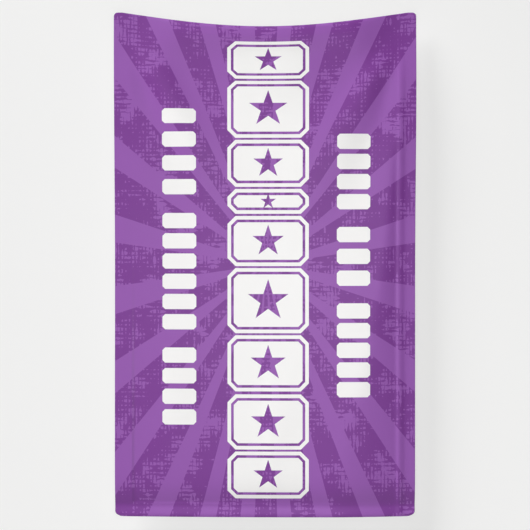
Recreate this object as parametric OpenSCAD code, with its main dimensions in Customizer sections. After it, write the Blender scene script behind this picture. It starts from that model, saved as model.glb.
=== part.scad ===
// Hanging championship banner: a hemmed sheet of scrim vinyl, portrait, held to a wall by a
// square of hook-and-loop behind each top corner.
// X runs to the right, the wall is the plane Y = 0, the printed face looks along -Y, Z is up.
// The origin lies on the wall, midway between the centres of the two fixings.

/* [Sheet] */
// Finished width of the flat banner, fold to fold
banner_w = 914.4; // [700:0.1:1220]
// Finished height of the flat banner, fold to fold
banner_h = 1524; // [1000:1:2440]
// Thickness of the printed front film
front_film_t = 0.16; // [0.1:0.01:0.3]
// Thickness of the woven polyester scrim between the films
scrim_t = 0.14; // [0.1:0.01:0.3]
// Thickness of the plain back film
back_film_t = 0.16; // [0.1:0.01:0.3]
// Radius of the two top corners
top_corner_r = 12; // [4:1:25]
// Radius of the two bottom corners
bottom_corner_r = 22; // [4:1:40]

/* [Drape] */
// Dip of the top edge midway between the fixings
top_sag = 42; // [5:1:70]
// How far each side edge draws in from the fixings to halfway down
side_draw = 4.3; // [1:0.1:10]
// How full the shoulders of the dip are: 0 is a plain parabola
sag_fullness = 0.25; // [0:0.05:0.4]
// How far the sheet bows forward midway between the fixings
bow = 22; // [2:1:30]

/* [Hems] */
// Width of the folded margin along each side
side_hem_w = 51; // [40:1:60]
// Width of the folded margin along the top and the bottom
end_hem_w = 38; // [30:1:50]
// Width of the double-sided tape that closes each hem
tape_w = 24; // [15:1:28]
// Thickness of the hem tape
tape_t = 0.2; // [0.1:0.05:0.4]
// Distance from the cut edge of the folded margin to the hem tape
tape_gap = 2; // [1:0.5:3]

/* [Fixings] */
// Side of each hook-and-loop square
square_w = 38; // [30:1:45]
// Radius of the corners of each square
square_r = 3; // [1:0.5:6]
// Distance from the banner's edges to each square
square_inset = 6; // [4:1:12]
// Thickness of the hook square on the wall, adhesive included
hook_t = 1.2; // [0.8:0.1:2.5]
// Thickness of the loop square on the banner, adhesive included
loop_t = 1.4; // [0.8:0.1:2.5]

/* [Hidden] */

$fn = 48;
LEFT = -1;
RIGHT = 1;

print_purple = [0.52, 0.29, 0.60];
scrim_grey = [0.80, 0.80, 0.79];
vinyl_white = [0.93, 0.93, 0.92];
tape_clear = [0.86, 0.85, 0.79];
pad_white = [0.88, 0.88, 0.86];

half_w = banner_w / 2;
sheet_t = front_film_t + scrim_t + back_film_t;
square_x = half_w - square_inset - square_w / 2;
top_z = square_inset + square_w / 2;
bottom_z = top_z - banner_h;
flat_x = half_w - square_inset - square_w - 4; // the sheet lies flat outside this, on its fixings
end_tape_near = end_hem_w - tape_gap - tape_w; // from the fold to the tape, top and bottom
side_tape_near = side_hem_w - tape_gap - tape_w; // from the fold to the tape, at the sides
draw_end = 700; // depth below the top at which the sides stop drawing in
clear = 20; // how far a cutting shape runs past the sheet
wave_steps = 36;
edge_steps = 24;
side_steps = 8;

// Back face of each layer where the sheet lies flat, counted forward from the wall
loop_back = hook_t;
hem_back = hook_t + loop_t;
tape_back = hem_back + sheet_t;
back_film_back = tape_back + tape_t;
scrim_back = back_film_back + back_film_t;
front_film_back = scrim_back + scrim_t;

// Forward bow at a place across the sheet: level at the fixings, fullest in the middle
function bow_at(x) = abs(x) >= flat_x ? 0 : bow * (1 + cos(180 * x / flat_x)) / 2;

// Dip of the top edge at a place across the sheet
function sag_at(x) = abs(x) >= square_x ? 0
    : top_sag * (1 - pow(x / square_x, 2)) * (1 - sag_fullness * pow(x / square_x, 2));

// How far a side edge has drawn in at a depth below the top
function draw_at(depth) = side_draw * sin(90 * min(1, max(0, depth) / draw_end));

// The sheet's cross-section seen from above, between two distances in front of the wall
module wave_section(back, thickness) {
    xs = [for (i = [0 : wave_steps]) -flat_x + 2 * flat_x * i / wave_steps];
    reach = [-half_w - clear, each xs, half_w + clear];
    last = len(reach) - 1;
    polygon([
        for (x = reach) [x, -back - bow_at(x)],
        for (i = [last : -1 : 0]) [reach[i], -back - thickness - bow_at(reach[i])]
    ]);
}

// Rectangle with two top and two bottom corners of their own radii, top edge at y = top_z
module rounded_panel() {
    difference() {
        translate([-half_w, bottom_z])
            square([banner_w, banner_h]);
        for (side = [LEFT, RIGHT]) {
            corner_waste(side, top_z, 1, top_corner_r);
            corner_waste(side, bottom_z, -1, bottom_corner_r);
        }
    }
}

// What a rounded corner takes off a square one
module corner_waste(side, z, up, r) {
    difference() {
        translate([side * (half_w - r / 2 + 1), z - up * (r / 2 - 1)])
            square([r + 2, r + 2], center = true);
        translate([side * (half_w - r), z - up * r])
            circle(r);
    }
}

// Everything below the sagging top edge, dropped by a given distance
module under_top_edge(drop = 0) {
    xs = [for (i = [0 : edge_steps]) -square_x + 2 * square_x * i / edge_steps];
    polygon([
        [-half_w - clear, bottom_z - clear],
        [-half_w - clear, top_z - drop],
        for (x = xs) [x, top_z - drop - sag_at(x)],
        [half_w + clear, top_z - drop],
        [half_w + clear, bottom_z - clear]
    ]);
}

// Everything between the two side edges, each moved in by a given distance
module between_sides(inset = 0) {
    depths = [0, each [for (i = [1 : side_steps]) draw_end * i / side_steps], banner_h + clear];
    last = len(depths) - 1;
    polygon([
        [-half_w + inset, top_z + clear],
        for (d = depths) [-half_w + inset + draw_at(d), top_z - d],
        for (i = [last : -1 : 0]) [half_w - inset - draw_at(depths[i]), top_z - depths[i]],
        [half_w - inset, top_z + clear]
    ]);
}

// Front outline of the hanging sheet
module sheet_outline() {
    intersection() {
        rounded_panel();
        under_top_edge();
        between_sides();
    }
}

// What lies beside the mitres of one side: the hems meet along its slanting ends
module side_wedge(side) {
    top_inner = half_w - side_hem_w;
    bottom_inner = top_inner - side_draw;
    polygon([
        [side * (half_w + side_hem_w), top_z + end_hem_w],
        [side * top_inner, top_z - end_hem_w - sag_at(top_inner)],
        [side * bottom_inner, bottom_z + end_hem_w],
        [side * (bottom_inner + 2 * side_hem_w), bottom_z - end_hem_w]
    ]);
}

// Outline of a strip along the top edge, between two distances from the edge
module top_strip(near, far) {
    intersection() {
        sheet_outline();
        difference() {
            under_top_edge(near);
            under_top_edge(far);
            for (side = [LEFT, RIGHT])
                side_wedge(side);
        }
    }
}

// Outline of a strip along the bottom edge, between two distances from the edge
module bottom_strip(near, far) {
    intersection() {
        sheet_outline();
        difference() {
            translate([-half_w, bottom_z + near])
                square([banner_w, far - near]);
            for (side = [LEFT, RIGHT])
                side_wedge(side);
        }
    }
}

// Outline of a strip down one side, between two distances from the edge
module side_strip(side, near, far) {
    intersection() {
        sheet_outline();
        difference() {
            between_sides(near);
            between_sides(far);
        }
        side_wedge(side);
    }
}

// Gives an outline the thickness and the bow of the sheet, with its back face at a set distance
module draped(back, thickness) {
    intersection() {
        translate([0, clear, 0])
            rotate([90, 0, 0])
                linear_extrude(height = 3 * clear + bow)
                    children();
        translate([0, 0, bottom_z - clear])
            linear_extrude(height = banner_h + 2 * clear)
                wave_section(back, thickness);
    }
}

// One hook or loop square, standing off the wall by a set distance
module fixing_square(side, back, thickness) {
    flat = square_w - 2 * square_r;
    translate([side * square_x, -back, 0])
        rotate([90, 0, 0])
            linear_extrude(height = thickness) {
                square([square_w, flat], center = true);
                square([flat, square_w], center = true);
                for (sx = [-1, 1], sz = [-1, 1])
                    translate([sx * flat / 2, sz * flat / 2])
                        circle(square_r);
            }
}

module front_film() {
    color(print_purple)
        draped(front_film_back, front_film_t)
            sheet_outline();
}

module scrim() {
    color(scrim_grey)
        draped(scrim_back, scrim_t)
            sheet_outline();
}

module back_film() {
    color(vinyl_white)
        draped(back_film_back, back_film_t)
            sheet_outline();
}

module hem_top() {
    color(vinyl_white)
        draped(hem_back, sheet_t)
            top_strip(0, end_hem_w);
}

module hem_bottom() {
    color(vinyl_white)
        draped(hem_back, sheet_t)
            bottom_strip(0, end_hem_w);
}

module side_hem(side) {
    color(vinyl_white)
        draped(hem_back, sheet_t)
            side_strip(side, 0, side_hem_w);
}

module hem_tape_top() {
    color(tape_clear)
        draped(tape_back, tape_t)
            top_strip(end_tape_near, end_tape_near + tape_w);
}

module hem_tape_bottom() {
    color(tape_clear)
        draped(tape_back, tape_t)
            bottom_strip(end_tape_near, end_tape_near + tape_w);
}

module side_tape(side) {
    color(tape_clear)
        draped(tape_back, tape_t)
            side_strip(side, side_tape_near, side_tape_near + tape_w);
}

module loop_square(side) {
    color(pad_white)
        fixing_square(side, loop_back, loop_t);
}

module hook_square(side) {
    color(pad_white)
        fixing_square(side, 0, hook_t);
}

front_film();
scrim();
back_film();
hem_top();
hem_bottom();
side_hem(LEFT);  // hem_left
side_hem(RIGHT);  // hem_right
hem_tape_top();
hem_tape_bottom();
side_tape(LEFT);  // hem_tape_left
side_tape(RIGHT);  // hem_tape_right
loop_square(LEFT);  // loop_square_left
loop_square(RIGHT);  // loop_square_right
hook_square(LEFT);  // hook_square_left
hook_square(RIGHT);  // hook_square_right
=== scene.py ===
# Hanging championship banner: printed scrim vinyl, hemmed all round, held by its top corners.
# Metres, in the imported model's frame: X right, Y into the wall, Z up; lengths are written in mm.
import math
import random

import bmesh
import bpy
from mathutils import Matrix, Vector, noise


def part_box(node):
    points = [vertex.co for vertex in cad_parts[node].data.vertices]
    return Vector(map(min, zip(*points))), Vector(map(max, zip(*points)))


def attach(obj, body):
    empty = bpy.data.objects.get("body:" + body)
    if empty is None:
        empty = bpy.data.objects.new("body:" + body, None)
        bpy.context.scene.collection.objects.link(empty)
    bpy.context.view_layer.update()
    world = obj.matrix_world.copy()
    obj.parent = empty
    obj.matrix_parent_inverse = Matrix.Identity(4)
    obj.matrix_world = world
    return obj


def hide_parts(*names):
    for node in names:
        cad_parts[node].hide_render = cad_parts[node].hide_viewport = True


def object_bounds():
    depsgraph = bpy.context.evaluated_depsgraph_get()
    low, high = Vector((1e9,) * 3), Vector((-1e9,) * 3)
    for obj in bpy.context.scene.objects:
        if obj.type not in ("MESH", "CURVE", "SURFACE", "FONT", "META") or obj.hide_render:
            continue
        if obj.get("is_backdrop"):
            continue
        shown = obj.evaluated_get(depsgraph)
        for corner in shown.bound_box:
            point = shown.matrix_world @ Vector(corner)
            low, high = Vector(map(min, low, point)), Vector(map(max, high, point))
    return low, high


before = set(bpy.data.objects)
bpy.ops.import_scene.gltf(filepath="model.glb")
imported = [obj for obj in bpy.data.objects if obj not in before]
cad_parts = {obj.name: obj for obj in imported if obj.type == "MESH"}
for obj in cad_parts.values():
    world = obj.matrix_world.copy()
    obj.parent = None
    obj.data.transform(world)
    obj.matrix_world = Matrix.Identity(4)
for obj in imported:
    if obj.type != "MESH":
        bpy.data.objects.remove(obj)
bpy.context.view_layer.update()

mm = 0.001
sheetLow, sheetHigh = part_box("front_film")
loopLow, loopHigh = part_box("loop_square_right")
sheetWide = (sheetHigh.x - sheetLow.x) / mm
sheetTall = (sheetHigh.z - sheetLow.z) / mm
halfWide = sheetWide / 2
halfTall = sheetTall / 2
topZ = sheetHigh.z / mm
padU = (loopLow.x + loopHigh.x) / 2 / mm  # a fixing's centre: across, and down from the top
padV = topZ - (loopLow.z + loopHigh.z) / 2 / mm

layers = {
    "film": 0.16,
    "scrim": 0.14,
    "tape": 0.2,
    "sideHem": 51,  # width of the folded margin
    "endHem": 38,
    "tapeWide": 24,
    "tapeGap": 2,  # from the margin's cut edge to its tape
}
clothThick = 2 * layers["film"] + layers["scrim"]
hemDepth = clothThick + layers["tape"]  # from the printed face to the folded margin
foldRadius = (hemDepth + clothThick) / 2


cameraView = {
    "lens": 100,
    "spans": 1594,  # width of the square picture at the banner
    "aimU": 0,
    "aimBelowMiddle": 1.2,
}


def placeCamera():
    data = bpy.data.cameras.new("camera")
    data.lens = cameraView["lens"]
    camera = bpy.data.objects.new("camera", data)
    bpy.context.scene.collection.objects.link(camera)
    away = cameraView["spans"] * mm * data.lens / data.sensor_width
    height = (sheetLow.z + sheetHigh.z) / 2 - cameraView["aimBelowMiddle"] * mm
    camera.location = (cameraView["aimU"] * mm, sheetLow.y - away, height)
    camera.rotation_euler = (math.radians(90), 0, 0)
    bpy.context.scene.camera = camera


placeCamera()
print("camera placed")


drape = {
    "sag": 42,  # dip of the top edge midway
    "sagFullness": 0.25,  # lifts the dip's shoulders above a plain parabola
    "sagReach": 380,  # the dip dies away over this depth, where the slack gathers
    "sagCurve": 1.6,  # 1 dies away evenly, more does so faster near the top
    "topSwell": 0.35,  # share of the forward swell that the top edge has
    "swellReach": 450,  # depth at which it has all of it
    "footBow": 1.5,  # the bottom corners are this much higher than its middle
    "sideDraw": 4.3,  # the sides pull in by this much
    "drawFrom": 60,  # depths between which they do
    "drawTo": 800,
    "topCorner": (12, 12),  # how far across and down a corner is rounded
    "bottomCorner": (26, 17),
    "padFlat": 24,  # the sheet lies flat this near a fixing's centre
    "padFree": 190,  # and hangs free from this far off
    "hemStep": 0.65,  # the doubled margin stands this much proud
    "hemStepSpan": (1, 8),  # and falls back over this span, counted from its cut edge
    "stepRight": (0, 0.9, 0, 250),  # share of that step at a side: (above, below, depths between)
    "stepLeft": (0.2, 2.4, 650, 1300),
    "marginCurve": 1.5,  # how the fall to the right margin steepens
    "unevenness": [(1.5, 240, 380, 3.1), (0.3, 60, 100, 8.4)],  # (forward, size across and down, which)
    "slopeStep": 0.4,  # the sheet's slope is taken between points this far to each side
}
# forward swell across the sheet: (from the centre, forward)
acrossCurve = [
    (-460, 3), (-400, 5), (-300, 8), (-150, 12), (0, 15), (150, 18), (300, 20), (404, 20),
    (412, 19.6), (426, 16.6), (460, 14.6),
]
# forward swell down the sheet: (below the top edge, forward)
downCurve = [
    (0, 0), (4, 2.2), (9, 3.8), (16, 4.8), (38, 6), (60, 5.4), (100, 2.2), (140, 1), (300, 0.5), (900, 4.5),
    (1250, 7.5), (1390, 7.5), (1430, 5.8), (1455, 2.2), (1475, -2.4), (1484, -4.6), (1490, -5.3),
    (1496, -5), (1505, -3.4), (1514, -2), (1519, -2), (1525, -3.4),
]
# the fall from the swell to the right margin: (below the top edge, where it starts, how deep)
marginFall = [
    (380, 385, 0), (575, 374, 4), (850, 342, 8), (1130, 280, 11), (1370, 225, 13), (1530, 205, 12),
]
fallEnd = 397  # how far right of the centre it ends
# folds that fan out from each fixing
fan = {
    "folds": [(22, 9, 1.5), (57, 9, 4.5), (73, 7, -3.5)],  # (degrees below level, spread, forward)
    "grow": (60, 260),  # distances from the fixing over which they rise
    "fade": (330, 760),  # and die away
    "wander": 2,  # degrees either way
    "wanderEvery": 160,
}
# single soft folds: (upper end, lower end, half width, forward)
softFolds = [
    ((-335, 90), (-205, 480), 44, 4.4),
    ((-395, 90), (-300, 480), 50, 3.2),
    ((-120, 40), (-60, 330), 60, 1.2),
    ((60, 60), (20, 420), 70, 1.0),
    ((-250, 980), (-290, 1400), 60, 1.6),
    ((60, 1150), (-40, 1460), 70, 1.4),
]
foldEnds = {"grow": (-0.3, 0.25), "fade": (0.7, 1.4)}  # shares of a soft fold's length


def ease(low, high, x):  # 0 below low, 1 above high, smooth between
    t = min(1, max(0, (x - low) / (high - low)))
    return t * t * (3 - 2 * t)


def alongCurve(points, x, column=1):  # smooth curve through the points
    if x <= points[0][0]:
        return points[0][column]
    if x >= points[-1][0]:
        return points[-1][column]
    i = next(i for i in range(len(points) - 1) if x <= points[i + 1][0])
    before, start, end = points[max(i - 1, 0)], points[i], points[i + 1]
    after = points[min(i + 2, len(points) - 1)]
    span = end[0] - start[0]
    slopeIn = (end[column] - before[column]) / (end[0] - before[0]) * span
    slopeOut = (after[column] - start[column]) / (after[0] - start[0]) * span
    t = (x - start[0]) / span
    rise = t * t * (3 - 2 * t)
    return (
        start[column] + (end[column] - start[column]) * rise
        + slopeIn * t * (1 - t) ** 2 - slopeOut * t * t * (1 - t)
    )


def fanAt(u, v):  # the folds that run from the nearer fixing, and how free of it the sheet is
    away = Vector((padU - abs(u), v - padV))
    free = ease(drape["padFlat"], drape["padFree"], away.length)
    if away.length < 1 or away.y < 0:
        return 0, free
    angle = math.degrees(math.atan2(away.y, away.x))
    fade = ease(*fan["grow"], away.length) * (1 - ease(*fan["fade"], away.length))
    whichFixing = 5.2 if u > 0 else 1.7
    wander = fan["wander"] * noise.noise(Vector((away.length / fan["wanderEvery"], whichFixing, 0)))
    total = 0
    for place, spreadOut, forward in fan["folds"]:
        total += forward * math.exp(-((angle - place - wander) / spreadOut) ** 2)
    return total * fade, free


def softFoldsAt(u, v):
    total = 0
    for upper, lower, halfWidth, forward in softFolds:
        run = Vector(lower) - Vector(upper)
        offset = Vector((u, v)) - Vector(upper)
        share = offset.dot(run) / run.length_squared
        aside = abs(offset.x * run.y - offset.y * run.x) / run.length
        fade = ease(*foldEnds["grow"], share) * (1 - ease(*foldEnds["fade"], share))
        total += forward * fade * math.exp(-(aside / halfWidth) ** 2)
    return total


def forwardAt(u, v):  # how far the printed face stands in front of where it lies on its fixings
    fanned, free = fanAt(u, v)
    risen = drape["topSwell"] + (1 - drape["topSwell"]) * ease(0, drape["swellReach"], v)
    swell = alongCurve(acrossCurve, u) * risen + fanned
    start, deep = alongCurve(marginFall, v, 1), alongCurve(marginFall, v, 2)
    swell -= deep * min(1, max(0, (u - start) / (fallEnd - start))) ** drape["marginCurve"]
    swell += alongCurve(downCurve, v) + softFoldsAt(u, v)
    for forward, sizeAcross, sizeDown, which in drape["unevenness"]:
        swell += forward * noise.noise(Vector((u / sizeAcross, v / sizeDown, which)))
    pastSide = halfWide - abs(u) - layers["sideHem"]
    pastEnd = min(v, sheetTall - v) - layers["endHem"]
    single = min(ease(*drape["hemStepSpan"], pastSide), ease(*drape["hemStepSpan"], pastEnd))
    above, below, *depths = drape["stepRight"] if u > 0 else drape["stepLeft"]
    step = drape["hemStep"] * (above + (below - above) * ease(*depths, v))
    return swell * free - step * single


def roundCorner(inSide, inEnd, reach):  # bends a square corner round
    p, q = 1 - inSide / reach[0], 1 - inEnd / reach[1]
    if p <= 0 or q <= 0:
        return inSide, inEnd
    shrink = max(p, q) / math.hypot(p, q)
    return reach[0] * (1 - p * shrink), reach[1] * (1 - q * shrink)


padFaceY = loopLow.y / mm - hemDepth - clothThick  # the printed face, where it lies on a fixing


def facePoint(u, v):  # where a place of the flat sheet hangs; u from its centre, v from its top
    inSide = halfWide - abs(u)
    if v < halfTall:
        inSide, down = roundCorner(inSide, v, drape["topCorner"])
    else:
        inSide, up = roundCorner(inSide, sheetTall - v, drape["bottomCorner"])
        down = sheetTall - up
    draw = drape["sideDraw"] * ease(drape["drawFrom"], drape["drawTo"], v)
    x = math.copysign(halfWide - inSide, u) * (1 - draw / halfWide)
    t = min(1, abs(x) / padU)
    sag = drape["sag"] * (1 - t * t) * (1 - drape["sagFullness"] * t * t)
    foot = drape["footBow"] * t * t
    slack = max(0, 1 - down / drape["sagReach"]) ** drape["sagCurve"]
    z = topZ - sag * slack - down / sheetTall * (sheetTall - foot)
    return Vector((x, padFaceY - forwardAt(u, v), z))


hung = {}


def hang(u, v):  # the point of the printed face and the way it looks
    key = (round(u, 3), round(v, 3))
    if key not in hung:
        step = drape["slopeStep"]
        across = facePoint(u + step, v) - facePoint(u - step, v)
        down = facePoint(u, v + step) - facePoint(u, v - step)
        hung[key] = facePoint(u, v), across.cross(-down).normalized()
    return hung[key]


def layOn(u, v, depth):  # a point that deep behind the printed face
    point, facing = hang(u, v)
    return (point - facing * depth) * mm


edgePlaces = [0, 0.8, 1.8, 3, 4.5, 6.5, 9, 12, 16, 20, 24, 28, 32, 36, 40]  # in from the fold
hemPlaces = [-5, -2.5, -0.8, 0.8, 2.5, 5, 9, 16]  # about the folded margin's cut edge
hemClear = 8  # edge places stop this far short of it
middleStep = 10


def spread(total, hem):  # places over a whole side: close together at the fold and the hem line
    edge = [foldRadius + place for place in edgePlaces if place < hem - hemClear]
    edge += [hem + place for place in hemPlaces]
    inner = total - 2 * edge[-1]
    count = round(inner / middleStep)
    middle = [edge[-1] + inner * i / count for i in range(1, count)]
    return edge + middle + [total - place for place in reversed(edge)]


acrossPlaces = [place - halfWide for place in spread(sheetWide, layers["sideHem"])]
downPlaces = spread(sheetTall, layers["endHem"])


def addPiece(name, mesh, material, body="banner"):
    for face in mesh.faces:
        face.smooth = True
    data = bpy.data.meshes.new(name)
    mesh.to_mesh(data)
    mesh.free()
    data.materials.append(material)
    piece = bpy.data.objects.new(name, data)
    bpy.context.scene.collection.objects.link(piece)
    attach(piece, body)
    return piece


def newGrid(columns, rows):  # a flat grid and the column and row of each of its points
    mesh = bmesh.new()
    bmesh.ops.create_grid(mesh, x_segments=columns - 1, y_segments=rows - 1, size=1)
    places = {}
    for vert in mesh.verts:
        column = round((vert.co.x + 1) / 2 * (columns - 1))
        places[vert] = (column, round((1 - vert.co.y) / 2 * (rows - 1)))
    return mesh, places


def turnOutwards(mesh, lookingAt):  # the first face's way decides for the whole sheet
    mesh.normal_update()
    first = next(iter(mesh.faces))
    if first.normal.dot(lookingAt) < 0:
        bmesh.ops.reverse_faces(mesh, faces=mesh.faces)


def writeMap(mesh, name, places):  # each point's own place on a flat map
    layer = mesh.loops.layers.uv.new(name)
    for face in mesh.faces:
        for loop in face.loops:
            loop[layer].uv = places[loop.vert]


def thicken(piece, thick):
    solid = piece.modifiers.new("thickness", "SOLIDIFY")
    solid.thickness = thick * mm
    solid.offset = -1


def paint(hexColour):  # "#rrggbb" in sRGB to the linear colour that a shader wants
    channels = [int(hexColour[i:i + 2], 16) / 255 for i in (1, 3, 5)]
    linear = [c / 12.92 if c <= 0.04045 else ((c + 0.055) / 1.055) ** 2.4 for c in channels]
    return (*linear, 1)


def addNode(tree, kind, *values, out=0, **settings):  # values fill its sockets in order, plain or linked
    node = tree.nodes.new("ShaderNode" + kind)
    pairs = list(zip(node.inputs, values))
    for name, value in settings.items():
        if name[0].islower():
            setattr(node, name, value)
        else:  # a capital begins a socket's own name
            pairs.append((next(socket for socket in node.inputs if socket.identifier == name), value))
    for socket, value in pairs:
        if isinstance(value, bpy.types.NodeSocket):
            tree.links.new(value, socket)
        else:
            socket.default_value = value
    return node.outputs[out]


def newMaterial(name):
    material = bpy.data.materials.new(name)
    material.use_nodes = True
    tree = material.node_tree
    return material, tree, tree.nodes["Principled BSDF"]


artwork = {
    "lightRay": "#9656B0",
    "darkRay": "#7C3594",
    "white": "#FAF9F8",
    "bareFilm": "#ECECE8",
    "rayCentre": (3, 0),  # where the rays meet, just right of the sheet's middle
    "raySquash": 0.56,  # the sunburst is drawn tall, in the sheet's own proportion
    "rayEvery": 15,  # degrees
    "rayHalf": 2.9,
    "bleed": 11,  # the ink runs round the fold by this much
}
# white plaques down the middle: (centre below the top edge, half its length)
plaques = [
    (123, 65), (287.5, 92.5), (457, 71), (571.5, 37.5), (691, 75.5), (870.5, 98), (1059, 84.5),
    (1235.5, 83), (1395.5, 71),
]
plaqueShape = {
    "centre": 9.5,
    "half": 123.5,
    "chamfer": 24,
    "lineMiddle": 15,  # a purple line is inlaid this far in
    "lineHalf": 4,
    "starShare": 0.66,  # of the plaque's half length
    "starMost": 76,
}
# white bars beside them: (centre across, half width, [(from, to, how many)])
barColumns = [
    (-260.5, 51.5, [(276, 563, 4), (599, 965, 6), (1004, 1252, 4)]),
    (268.5, 50.5, [(361, 603, 4), (639, 836, 3), (872, 1168, 5)]),
]
barShape = {"half": 23, "chamfer": 8}


def insideChamfered(tree, x, y, halfX, halfY, chamfer):  # how far inside a chamfered block
    x = addNode(tree, "Math", x, operation="ABSOLUTE")
    y = addNode(tree, "Math", y, operation="ABSOLUTE")
    sideways = addNode(tree, "Math", halfX, x, operation="SUBTRACT")
    endways = addNode(tree, "Math", halfY, y, operation="SUBTRACT")
    straight = addNode(tree, "Math", sideways, endways, operation="MINIMUM")
    both = addNode(tree, "Math", sideways, endways, operation="ADD")
    corner = addNode(tree, "Math", both, chamfer, operation="SUBTRACT")
    slanted = addNode(tree, "Math", corner, math.sqrt(0.5), operation="MULTIPLY")
    return addNode(tree, "Math", straight, slanted, operation="MINIMUM")


def insideStar(tree, x, y, radius):  # 1 inside an upright five-pointed star
    tip = math.radians(18)  # half the angle of a point
    turn = addNode(tree, "Math", x, y, operation="ARCTAN2")
    folded = addNode(tree, "Math", turn, 2 * tip, operation="PINGPONG")
    slope = addNode(tree, "Math", addNode(tree, "Math", folded, tip, operation="ADD"), operation="SINE")
    reach = addNode(tree, "VectorMath", addNode(tree, "CombineXYZ", x, y), operation="LENGTH", out="Value")
    across = addNode(tree, "Math", reach, slope, operation="MULTIPLY")
    edge = addNode(tree, "Math", radius, math.sin(tip), operation="MULTIPLY")
    return addNode(tree, "Math", across, edge, operation="LESS_THAN")


def insideWhich(tree, place, spans):  # the listed values of the span that the place is in, else 0
    inside = 0
    found = [0] * len(spans[0][1])
    for (middle, half), values in spans:
        here = addNode(tree, "Math", place, middle, half, operation="COMPARE")
        inside = addNode(tree, "Math", here, inside, operation="ADD")
        for i, value in enumerate(values):
            found[i] = addNode(tree, "Math", here, value, found[i], operation="MULTIPLY_ADD")
    return inside, found


def plaqueMask(tree, u, v):  # 1 on the white of the plaques
    spans = [((middle, half), (middle, half)) for middle, half in plaques]
    here, (middle, half) = insideWhich(tree, v, spans)
    x = addNode(tree, "Math", u, plaqueShape["centre"], operation="SUBTRACT")
    y = addNode(tree, "Math", middle, v, operation="SUBTRACT")
    deep = insideChamfered(tree, x, y, plaqueShape["half"], half, plaqueShape["chamfer"])
    slab = addNode(tree, "Math", deep, 0, operation="GREATER_THAN")
    line = addNode(
        tree, "Math", deep, plaqueShape["lineMiddle"], plaqueShape["lineHalf"], operation="COMPARE")
    radius = addNode(tree, "Math", half, plaqueShape["starShare"], operation="MULTIPLY")
    radius = addNode(tree, "Math", radius, plaqueShape["starMost"], operation="MINIMUM")
    inked = addNode(tree, "Math", line, insideStar(tree, x, y, radius), operation="MAXIMUM")
    white = addNode(tree, "Math", slab, inked, operation="GREATER_THAN")
    return addNode(tree, "Math", here, white, operation="MULTIPLY")


def barMask(tree, u, v, centre, halfWidth, groups):  # 1 on the bars of one column
    spans = [(((a + b) / 2, (b - a) / 2), (a, (b - a) / count)) for a, b, count in groups]
    here, (start, pitch) = insideWhich(tree, v, spans)
    along = addNode(tree, "Math", v, start, operation="SUBTRACT")
    steps = addNode(tree, "Math", along, pitch, operation="DIVIDE")
    part = addNode(tree, "Math", addNode(tree, "Math", steps, operation="FRACT"), 0.5, operation="SUBTRACT")
    y = addNode(tree, "Math", part, pitch, operation="MULTIPLY")
    x = addNode(tree, "Math", u, centre, operation="SUBTRACT")
    deep = insideChamfered(tree, x, y, halfWidth, barShape["half"], barShape["chamfer"])
    white = addNode(tree, "Math", deep, 0, operation="GREATER_THAN")
    return addNode(tree, "Math", here, white, operation="MULTIPLY")


def rayMask(tree, u, w):  # 1 on a light ray of the sunburst
    centreU, centreW = artwork["rayCentre"]
    half = math.radians(artwork["rayEvery"] / 2)
    x = addNode(tree, "Math", u, centreU, operation="SUBTRACT")
    y = addNode(tree, "Math", w, centreW, operation="SUBTRACT")
    y = addNode(tree, "Math", y, artwork["raySquash"], operation="MULTIPLY")
    turn = addNode(tree, "Math", y, x, operation="ARCTAN2")
    turn = addNode(tree, "Math", turn, half, operation="SUBTRACT")
    away = addNode(tree, "Math", turn, half, operation="PINGPONG")
    return addNode(tree, "Math", away, math.radians(artwork["rayHalf"]), operation="LESS_THAN")


# the worn canvas drawn in the dark rays
wornLook = {
    "crossPitch": 13.5,  # between the threads that run across
    "downPitch": 11,
    "dashLong": 30,  # how far along a thread its wear keeps up
    "dashVaries": 3.2,  # and how much it differs from dash to dash
    "laneApart": 3.7,  # keeps one thread's dashes unlike the next one's
    "patchSize": 75,
    "patchShift": 30,  # how unlike the wear of the two ways of thread is
    "patchRough": 0.62,
    "patchTwist": 0.3,
    "patchSpan": (0.34, 0.68),  # of the noise, from an unworn patch to a bare one
    "gapSpan": (-0.38, 1.45),  # how open the weave is in each
}


def wornCanvas(tree, u, w):  # 1 where a dark ray is worn to the light tone, between crossing threads
    bare = []
    ways = ((u, w, wornLook["crossPitch"], 0), (w, u, wornLook["downPitch"], wornLook["patchShift"]))
    for along, across, pitch, shift in ways:
        place = addNode(tree, "CombineXYZ", u, w, shift)
        patch = addNode(
            tree, "TexNoise", place, Scale=1 / wornLook["patchSize"], Detail=5,
            Roughness=wornLook["patchRough"], Distortion=wornLook["patchTwist"])
        cover = addNode(
            tree, "MapRange", patch, *wornLook["patchSpan"], *wornLook["gapSpan"], clamp=False)
        thread = addNode(tree, "Math", across, pitch, operation="DIVIDE")
        number = addNode(tree, "Math", thread, operation="FLOOR")
        part = addNode(tree, "Math", thread, 0.5, operation="SUBTRACT")
        gap = addNode(tree, "Math", part, 0.5, operation="PINGPONG")
        dash = addNode(tree, "Math", along, wornLook["dashLong"], operation="DIVIDE")
        lane = addNode(tree, "Math", number, wornLook["laneApart"], operation="MULTIPLY")
        uneven = addNode(tree, "TexNoise", addNode(tree, "CombineXYZ", dash, lane, shift), Scale=1, Detail=2)
        spare = addNode(tree, "Math", uneven, 0.5, operation="SUBTRACT")
        wear = addNode(tree, "Math", spare, wornLook["dashVaries"], cover, operation="MULTIPLY_ADD")
        opened = addNode(tree, "Math", wear, 0.5, operation="MULTIPLY")
        bare.append(addNode(tree, "Math", gap, opened, operation="LESS_THAN"))
    return addNode(tree, "Math", *bare, operation="MULTIPLY")


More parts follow.
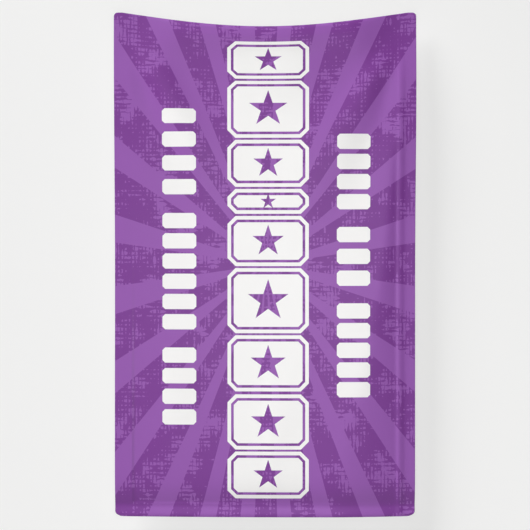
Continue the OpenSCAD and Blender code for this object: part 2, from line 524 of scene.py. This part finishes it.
def sheetPlace(tree):  # a place on the flat sheet in mm, and how far right and up of its middle it is
    metres = addNode(tree, "UVMap", uv_map="printMap")
    place = addNode(tree, "VectorMath", metres, Scale=1 / mm, operation="SCALE")
    u = addNode(tree, "SeparateXYZ", place, out="X")
    w = addNode(tree, "SeparateXYZ", place, out="Y")
    return place, u, w


def inkColour(tree, u, w):
    v = addNode(tree, "Math", halfTall, w, operation="SUBTRACT")
    light = addNode(tree, "Math", rayMask(tree, u, w), wornCanvas(tree, u, w), operation="MAXIMUM")
    dark, pale = paint(artwork["darkRay"]), paint(artwork["lightRay"])
    ink = addNode(tree, "Mix", light, A_Color=dark, B_Color=pale, data_type="RGBA", out=2)
    white = plaqueMask(tree, u, v)
    for column in barColumns:
        white = addNode(tree, "Math", white, barMask(tree, u, v, *column), operation="MAXIMUM")
    ink = addNode(tree, "Mix", white, A_Color=ink, B_Color=paint(artwork["white"]), data_type="RGBA", out=2)
    inWidth = addNode(tree, "Math", u, 0, halfWide + artwork["bleed"], operation="COMPARE")
    inHeight = addNode(tree, "Math", w, 0, halfTall + artwork["bleed"], operation="COMPARE")
    inked = addNode(tree, "Math", inWidth, inHeight, operation="MULTIPLY")
    bare = paint(artwork["bareFilm"])
    return addNode(tree, "Mix", inked, A_Color=bare, B_Color=ink, data_type="RGBA", out=2)


scrimLook = {
    "pitch": 2.8,  # 9 threads to the inch each way
    "rise": 0.018,
    "grainSize": 1.1,
    "grainRise": 0.012,
    # the darker colour between the threads is painted shade, the paler one on them a painted highlight
    "paintedShadeBetweenThreads": "#B4B4B0",
    "paintedThreadHighlight": "#E6E6E2",
    "yarnRise": 0.1,
    "yarnRough": 0.8,
}
vinylLook = {
    "ior": 1.53,
    "faceRough": (0.44, 0.54),  # the smoothest and the roughest of the printed face
    "faceBlotch": 45,
    "backRough": 0.58,
    "backThread": "#E2E2DE",
    "backDust": "#DAD6CA",
    "dustBlotch": 120,
    "dustShare": 0.25,
    "threadSpan": (0.004, 0.018),  # heights between which the back turns its thread colour
}


def threadRidges(tree, u, w):  # 0 between the scrim's threads, up to 0.5 on them
    ways = [addNode(tree, "Math", way, scrimLook["pitch"], operation="DIVIDE") for way in (u, w)]
    ridges = [addNode(tree, "Math", way, 0.5, operation="PINGPONG") for way in ways]
    return addNode(tree, "Math", *ridges, operation="MAXIMUM")


def scrimRelief(tree, place, u, w):  # height in mm of the scrim showing through the film
    thread = addNode(tree, "Math", threadRidges(tree, u, w), scrimLook["rise"], operation="MULTIPLY")
    grain = addNode(tree, "TexNoise", place, Scale=1 / scrimLook["grainSize"], Detail=3)
    return addNode(tree, "Math", grain, scrimLook["grainRise"], thread, operation="MULTIPLY_ADD")


# calendered PVC with solvent ink: an even satin skin with the scrim's weave faint under it
def printedVinyl():
    material, tree, shader = newMaterial("printedVinyl")
    place, u, w = sheetPlace(tree)
    bump = addNode(tree, "Bump", Height=scrimRelief(tree, place, u, w), Distance=mm, Strength=1)
    blotch = addNode(tree, "TexNoise", place, Scale=1 / vinylLook["faceBlotch"], Detail=4)
    rough = addNode(tree, "MapRange", blotch, 0, 1, *vinylLook["faceRough"])
    tree.links.new(inkColour(tree, u, w), shader.inputs["Base Color"])
    tree.links.new(bump, shader.inputs["Normal"])
    tree.links.new(rough, shader.inputs["Roughness"])
    shader.inputs["IOR"].default_value = vinylLook["ior"]
    return material


# bare white PVC back: matte, slightly yellowed, the scrim showing as a fine grey grid
def plainVinyl():
    material, tree, shader = newMaterial("plainVinyl")
    place, u, w = sheetPlace(tree)
    relief = scrimRelief(tree, place, u, w)
    raised = addNode(tree, "MapRange", relief, *vinylLook["threadSpan"])
    bare, threaded = paint(artwork["bareFilm"]), paint(vinylLook["backThread"])
    tint = addNode(tree, "Mix", raised, A_Color=bare, B_Color=threaded, data_type="RGBA", out=2)
    dust = addNode(tree, "TexNoise", place, Scale=1 / vinylLook["dustBlotch"], Detail=5)
    thinDust = addNode(tree, "Math", dust, vinylLook["dustShare"], operation="MULTIPLY")
    dusty = paint(vinylLook["backDust"])
    aged = addNode(tree, "Mix", thinDust, A_Color=tint, B_Color=dusty, data_type="RGBA", out=2)
    bump = addNode(tree, "Bump", Height=relief, Distance=mm, Strength=1)
    tree.links.new(aged, shader.inputs["Base Color"])
    tree.links.new(bump, shader.inputs["Normal"])
    shader.inputs["Roughness"].default_value = vinylLook["backRough"]
    shader.inputs["IOR"].default_value = vinylLook["ior"]
    return material


# woven polyester yarn: dull, its colour a painted highlight on each thread's round back and painted shade
# between the threads
def scrimYarn():
    material, tree, shader = newMaterial("scrimYarn")
    place, u, w = sheetPlace(tree)
    ridges = threadRidges(tree, u, w)
    between, paintedThreadHighlight = paint(scrimLook["paintedShadeBetweenThreads"]), paint(scrimLook["paintedThreadHighlight"])
    # painted shade between the threads, painted highlight on their crests
    tint = addNode(tree, "Mix", ridges, A_Color=between, B_Color=paintedThreadHighlight, data_type="RGBA", out=2)
    bump = addNode(tree, "Bump", Height=ridges, Distance=scrimLook["yarnRise"] * mm)
    tree.links.new(tint, shader.inputs["Base Color"])
    tree.links.new(bump, shader.inputs["Normal"])
    shader.inputs["Roughness"].default_value = scrimLook["yarnRough"]
    return material


tapeLook = {
    "clear": "#F2EFE2",
    "milky": "#D9D3BC",
    "bubble": 1.6,
    "bubbleEdge": (0.05, 0.3),
    "rough": 0.32,
    "ior": 1.48,
    "seeThrough": 0.35,
}


# acrylic double-sided tape: milky, with tiny trapped bubbles
def acrylicTape():
    material, tree, shader = newMaterial("acrylicTape")
    place = addNode(tree, "TexCoord", out="Object")
    cells = addNode(tree, "TexVoronoi", place, Scale=1 / (tapeLook["bubble"] * mm))
    bubble = addNode(tree, "MapRange", cells, *tapeLook["bubbleEdge"])
    clear, milky = paint(tapeLook["clear"]), paint(tapeLook["milky"])
    tint = addNode(tree, "Mix", bubble, A_Color=clear, B_Color=milky, data_type="RGBA", out=2)
    tree.links.new(tint, shader.inputs["Base Color"])
    shader.inputs["Roughness"].default_value = tapeLook["rough"]
    shader.inputs["IOR"].default_value = tapeLook["ior"]
    shader.inputs["Transmission Weight"].default_value = tapeLook["seeThrough"]
    return material


nylonLook = {
    "ior": 1.53,
    "fuzzSize": 0.8,
    "fuzzRise": 0.12,
    "loops": ("#D8D8D4", "#F0F0EC", 0.75, 0.4),  # (duller, brighter, roughness, sheen)
    "hooks": ("#DCDCD8", "#EDEDEA", 0.38, 0),
}


# nylon of the fixings: off-white, a soft sheen on the brushed loops, glossier on the moulded hooks
def fixingNylon(name, low, high, rough, sheen):
    material, tree, shader = newMaterial(name)
    place = addNode(tree, "TexCoord", out="Object")
    fuzz = addNode(tree, "TexNoise", place, Scale=1 / (nylonLook["fuzzSize"] * mm), Detail=4)
    tint = addNode(tree, "Mix", fuzz, A_Color=paint(low), B_Color=paint(high), data_type="RGBA", out=2)
    bump = addNode(tree, "Bump", Height=fuzz, Distance=nylonLook["fuzzRise"] * mm)
    tree.links.new(tint, shader.inputs["Base Color"])
    tree.links.new(bump, shader.inputs["Normal"])
    shader.inputs["Roughness"].default_value = rough
    shader.inputs["IOR"].default_value = nylonLook["ior"]
    shader.inputs["Sheen Weight"].default_value = sheen
    return material


printed = printedVinyl()
plain = plainVinyl()
yarn = scrimYarn()
tapeFilm = acrylicTape()
loopNylon = fixingNylon("brushedNylonLoops", *nylonLook["loops"])
hookNylon = fixingNylon("mouldedNylonHooks", *nylonLook["hooks"])
print("materials made")


def newLayer(name, depth, thick, material):
    mesh, where = newGrid(len(acrossPlaces), len(downPlaces))
    flat = {vert: (acrossPlaces[i], downPlaces[j]) for vert, (i, j) in where.items()}
    printPlaces, bakePlaces = {}, {}
    for vert, (u, v) in flat.items():
        vert.co = layOn(u, v, depth)
        printPlaces[vert] = (u * mm, (halfTall - v) * mm)
        bakePlaces[vert] = (0.5 + u / sheetWide, 1 - v / sheetTall)
    writeMap(mesh, "printMap", printPlaces)
    writeMap(mesh, "OFBake", bakePlaces)
    turnOutwards(mesh, Vector((0, -1, 0)))
    piece = addPiece(name, mesh, material)
    thicken(piece, thick)
    return piece


frontFilm = newLayer("frontFilm", 0, layers["film"], printed)
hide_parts("front_film")
scrimCloth = newLayer("scrimCloth", layers["film"], layers["scrim"], yarn)
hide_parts("scrim")
backFilm = newLayer("backFilm", layers["film"] + layers["scrim"], layers["film"], plain)
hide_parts("back_film")
print("sheet hung")


arcSteps = 8  # round the fold
tapeSteps = 4  # across a tape
lastColumn, lastRow = acrossPlaces[-1], downPlaces[-1]
firstColumn, firstRow = acrossPlaces[0], downPlaces[0]
sides = {  # each side's outline places in order, its flat way out, and its hem's width
    "Top": ([(u, firstRow) for u in acrossPlaces], Vector((0, -1)), layers["endHem"]),
    "Right": ([(lastColumn, v) for v in downPlaces], Vector((1, 0)), layers["sideHem"]),
    "Bottom": ([(u, lastRow) for u in reversed(acrossPlaces)], Vector((0, 1)), layers["endHem"]),
    "Left": ([(firstColumn, v) for v in reversed(downPlaces)], Vector((-1, 0)), layers["sideHem"]),
}
outline = [place for places, _, _ in sides.values() for place in places[:-1]]


def wayOut(place):  # square to the outline and in the sheet, away from its middle
    i = outline.index(place)
    before, after = hang(*outline[i - 1])[0], hang(*outline[(i + 1) % len(outline)])[0]
    out = (after - before).cross(hang(*place)[1]).normalized()
    middle = facePoint(0, halfTall)
    return out if out.dot(hang(*place)[0] - middle) > 0 else -out


def insetPlace(side, share, inset):  # a flat place in a mitred margin; share runs from end to end
    places, way, hem = sides[side]
    start, end = Vector(places[0]), Vector(places[-1])
    along = (end - start).normalized()
    slant = (layers["sideHem"] if way.x == 0 else layers["endHem"]) / hem
    start = start - way * inset + along * inset * slant
    end = end - way * inset - along * inset * slant
    return start.lerp(end, share)


def shareOf(side, place):
    places = sides[side][0]
    start, end = Vector(places[0]), Vector(places[-1])
    return (Vector(place) - start).length / (end - start).length


def newHem(side):
    places, way, hem = sides[side]
    insets = [inset for inset in edgePlaces[1:] if inset < hem - hemClear]
    insets += [hem - short for short in (5, 2.5, foldRadius)]
    mesh, where = newGrid(len(places), arcSteps + 1 + len(insets))
    printPlaces = {}
    for vert, (i, j) in where.items():
        point, facing = hang(*places[i])
        if j <= arcSteps:
            turn = math.pi * j / arcSteps
            out = wayOut(places[i])
            point = point + out * foldRadius * math.sin(turn) - facing * foldRadius * (1 - math.cos(turn))
            vert.co = point * mm
            beyond = foldRadius * turn
            flat = Vector(places[i])
        else:
            inset = insets[j - arcSteps - 1]
            flat = insetPlace(side, shareOf(side, places[i]), inset)
            vert.co = layOn(flat.x, flat.y, hemDepth + clothThick)
            beyond = foldRadius * math.pi + 2 * inset
        unfolded = flat + way * beyond
        printPlaces[vert] = (unfolded.x * mm, (halfTall - unfolded.y) * mm)
    writeMap(mesh, "printMap", printPlaces)
    bmesh.ops.recalc_face_normals(mesh, faces=mesh.faces)
    flap = max(mesh.faces, key=lambda face: face.calc_center_median().y)
    if flap.normal.y < 0:
        bmesh.ops.reverse_faces(mesh, faces=mesh.faces)
    piece = addPiece("hem" + side, mesh, printed)
    thicken(piece, clothThick)
    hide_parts("hem_" + side.lower())
    return piece


def newTape(side):
    places, way, hem = sides[side]
    near = hem - layers["tapeGap"] - layers["tapeWide"]
    insets = [near - foldRadius + layers["tapeWide"] * k / tapeSteps for k in range(tapeSteps + 1)]
    mesh, where = newGrid(len(places), len(insets))
    for vert, (i, j) in where.items():
        flat = insetPlace(side, shareOf(side, places[i]), insets[j])
        vert.co = layOn(flat.x, flat.y, clothThick)
    turnOutwards(mesh, Vector((0, -1, 0)))
    piece = addPiece("hemTape" + side, mesh, tapeFilm)
    thicken(piece, layers["tape"])
    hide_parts("hem_tape_" + side.lower())
    return piece


hems = [newHem(side) for side in sides]
tapes = [newTape(side) for side in sides]
print("hems folded and taped")


fixing = {
    "cornerRadius": 3,
    "rimRadius": 0.08,
    "backing": 0.45,  # woven tape with its adhesive
    "pitch": 1.9,  # between bristles
    "edgeClear": 2,  # bare backing, both sides together
    "turned": 0.3,  # each bristle is turned and moved by chance, up to this many radians
    "moved": 0.12,  # and this share of the pitch
    "loops": (0.5, 0.14, 180),  # (reach, thickness, degrees that a bristle bends through)
    "hooks": (0.42, 0.2, 150),
}


def newTuft(reach, thick, sweep):  # one bent nylon bristle, standing on y = 0 and bending along x
    mesh = bmesh.new()
    ring = bmesh.ops.create_circle(mesh, segments=4, radius=thick / 2 * mm)["verts"]
    bmesh.ops.rotate(mesh, verts=ring, matrix=Matrix.Rotation(math.radians(90), 3, "X"))
    bmesh.ops.translate(mesh, verts=ring, vec=(reach * mm, 0, 0))
    bmesh.ops.spin(
        mesh, geom=mesh.edges[:], cent=(0, 0, 0), axis=(0, 0, -1), dvec=(0, 0, 0),
        angle=math.radians(sweep), steps=6, use_merge=False, use_duplicate=False)
    bmesh.ops.holes_fill(mesh, edges=[edge for edge in mesh.edges if edge.is_boundary], sides=0)
    bmesh.ops.recalc_face_normals(mesh, faces=mesh.faces)
    data = bpy.data.meshes.new("tuft")
    mesh.to_mesh(data)
    mesh.free()
    return data


def newSquare(name, low, high, material, body, facing, reach, thick, sweep):
    tuft = newTuft(reach, thick, sweep)
    mesh = bmesh.new()
    middle = (low + high) / 2
    wide = high.x - low.x
    bmesh.ops.create_cube(mesh, size=1)
    backing = fixing["backing"] * mm
    bmesh.ops.scale(mesh, vec=(wide, backing, wide), verts=mesh.verts)
    uprights = [edge for edge in mesh.edges if abs(edge.verts[0].co.y - edge.verts[1].co.y) > backing / 2]
    bmesh.ops.bevel(
        mesh, geom=uprights, offset=fixing["cornerRadius"] * mm, segments=6, profile=0.5,
        affect="EDGES", material=-1)
    rim = [edge for edge in mesh.edges if edge.calc_face_angle(0) > 1]
    bmesh.ops.bevel(
        mesh, geom=rim, offset=fixing["rimRadius"] * mm, segments=2, profile=0.5,
        affect="EDGES", material=-1)
    backY = (high.y - backing / 2) if facing < 0 else (low.y + backing / 2)
    bmesh.ops.translate(mesh, verts=mesh.verts, vec=(middle.x, backY, middle.z))
    rootY = backY + facing * backing / 2
    count = int((wide / mm - fixing["edgeClear"]) / fixing["pitch"])
    first = (1 - count) / 2
    chance = random.Random(11)
    flip = Matrix.Rotation(0 if facing > 0 else math.pi, 4, "X")
    for row in range(count):
        for column in range(count):
            turn = chance.uniform(-fixing["turned"], fixing["turned"]) + (math.pi if row % 2 else 0)
            x = (first + column + chance.uniform(-fixing["moved"], fixing["moved"])) * fixing["pitch"] * mm
            z = (first + row + chance.uniform(-fixing["moved"], fixing["moved"])) * fixing["pitch"] * mm
            root = Matrix.Translation((middle.x + x, rootY, middle.z + z))
            placed = tuft.copy()
            placed.transform(root @ Matrix.Rotation(turn, 4, "Y") @ flip)
            mesh.from_mesh(placed)
            bpy.data.meshes.remove(placed)
    bpy.data.meshes.remove(tuft)
    return addPiece(name, mesh, material, body)


for side in ("Left", "Right"):
    low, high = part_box("loop_square_" + side.lower())
    loops = newSquare("loopSquare" + side, low, high, loopNylon, "banner", 1, *fixing["loops"])
    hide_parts("loop_square_" + side.lower())
    low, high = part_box("hook_square_" + side.lower())
    hooks = newSquare("hookSquare" + side, low, high, hookNylon, "wall_fixings", -1, *fixing["hooks"])
    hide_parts("hook_square_" + side.lower())
print("fixings made")


studio = {
    "wallBehind": 60,
    "wallHalf": (4, 2.7),  # metres
    "wallMiddle": 0.1,
    "floorHalf": (4, 6),
    "floorHeight": -2.6,
    "floorPaint": "#DADADA",
    "floorRough": 0.9,
    "sky": "#F1F1F1",
    "wallGlow": 0.587,
    "wallPaint": "#9B9B9B",
    "wallLight": "#FFFFFE",
    "keyWay": (-0.62, -0.35, 0.70),
    "keyStrength": 3.4,
    "keyWide": 32,  # degrees
    "fill": 0.13,
}
# soft boxes: (place, aimed at, width, height, watts, degrees that the beam opens to)
softBoxes = [
    ((0.05, -2.6, -0.7), (0.05, 0, -0.7), 0.7, 1.2, 4.8, 100),
    ((-0.9, -0.9, 0.9), (-0.1, 0, -0.05), 0.7, 0.7, 3.5, 180),
    ((0.9, 2.4, 0.2), (0, 0, -0.75), 1.6, 2, 40, 180),
]


def newPanel(name, half, place):  # a flat panel, half its width and depth each way, put in its place
    mesh = bmesh.new()
    bmesh.ops.create_grid(mesh, x_segments=1, y_segments=1, size=1)
    bmesh.ops.transform(mesh, matrix=place @ Matrix.Diagonal((*half, 1, 1)), verts=mesh.verts)
    data = bpy.data.meshes.new(name)
    mesh.to_mesh(data)
    mesh.free()
    panel = bpy.data.objects.new(name, data)
    bpy.context.scene.collection.objects.link(panel)
    panel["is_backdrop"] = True
    return panel


def standBackdrop():
    wallPlace = Matrix.Translation((0, studio["wallBehind"] * mm, studio["wallMiddle"]))
    wallPlace @= Matrix.Rotation(math.radians(90), 4, "X")
    wall = newPanel("wall", studio["wallHalf"], wallPlace)
    floor = newPanel("floor", studio["floorHalf"], Matrix.Translation((0, 0, studio["floorHeight"])))
    material, tree, shader = newMaterial("paleWall")
    shader.inputs["Base Color"].default_value = paint(studio["wallPaint"])
    shader.inputs["Roughness"].default_value = 1
    shader.inputs["Specular IOR Level"].default_value = 0
    shader.inputs["Emission Color"].default_value = paint(studio["wallLight"])
    shader.inputs["Emission Strength"].default_value = studio["wallGlow"]
    output = next(node for node in tree.nodes if node.type == "OUTPUT_MATERIAL")
    behind = addNode(tree, "NewGeometry", out="Backfacing")
    clear = addNode(tree, "BsdfTransparent")
    tree.links.new(addNode(tree, "MixShader", behind, shader.outputs[0], clear), output.inputs[0])
    wall.data.materials.append(material)
    wall.visible_diffuse = False
    wall.visible_glossy = False
    wall.visible_shadow = False
    material, tree, shader = newMaterial("paleFloor")
    shader.inputs["Base Color"].default_value = paint(studio["floorPaint"])
    shader.inputs["Roughness"].default_value = studio["floorRough"]
    floor.data.materials.append(material)


def hangLights():
    scene = bpy.context.scene
    scene.view_settings.view_transform = "Standard"
    world = bpy.data.worlds.new("studio")
    world.use_nodes = True
    scene.world = world
    tree = world.node_tree
    background = tree.nodes["Background"]
    background.inputs[0].default_value = paint(studio["sky"])
    seen = addNode(tree, "LightPath", out="Is Camera Ray")
    strength = addNode(tree, "MapRange", seen, 0, 1, studio["fill"], 1.0)
    tree.links.new(strength, background.inputs[1])
    sun = bpy.data.lights.new("key", "SUN")
    sun.energy = studio["keyStrength"]
    sun.angle = math.radians(studio["keyWide"])
    key = bpy.data.objects.new("key", sun)
    key.rotation_euler = Vector(studio["keyWay"]).to_track_quat("Z", "Y").to_euler()
    scene.collection.objects.link(key)
    for place, aim, wide, tall, power, opening in softBoxes:
        box = bpy.data.lights.new("softBox", "AREA")
        box.shape = "RECTANGLE"
        box.size, box.size_y = wide, tall
        box.energy = power
        box.spread = math.radians(opening)
        lamp = bpy.data.objects.new("softBox", box)
        lamp.location = place
        lamp.rotation_euler = (Vector(place) - Vector(aim)).to_track_quat("Z", "Y").to_euler()
        lamp.visible_camera = False
        scene.collection.objects.link(lamp)


standBackdrop()
hangLights()
print("stage set")

low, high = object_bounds()
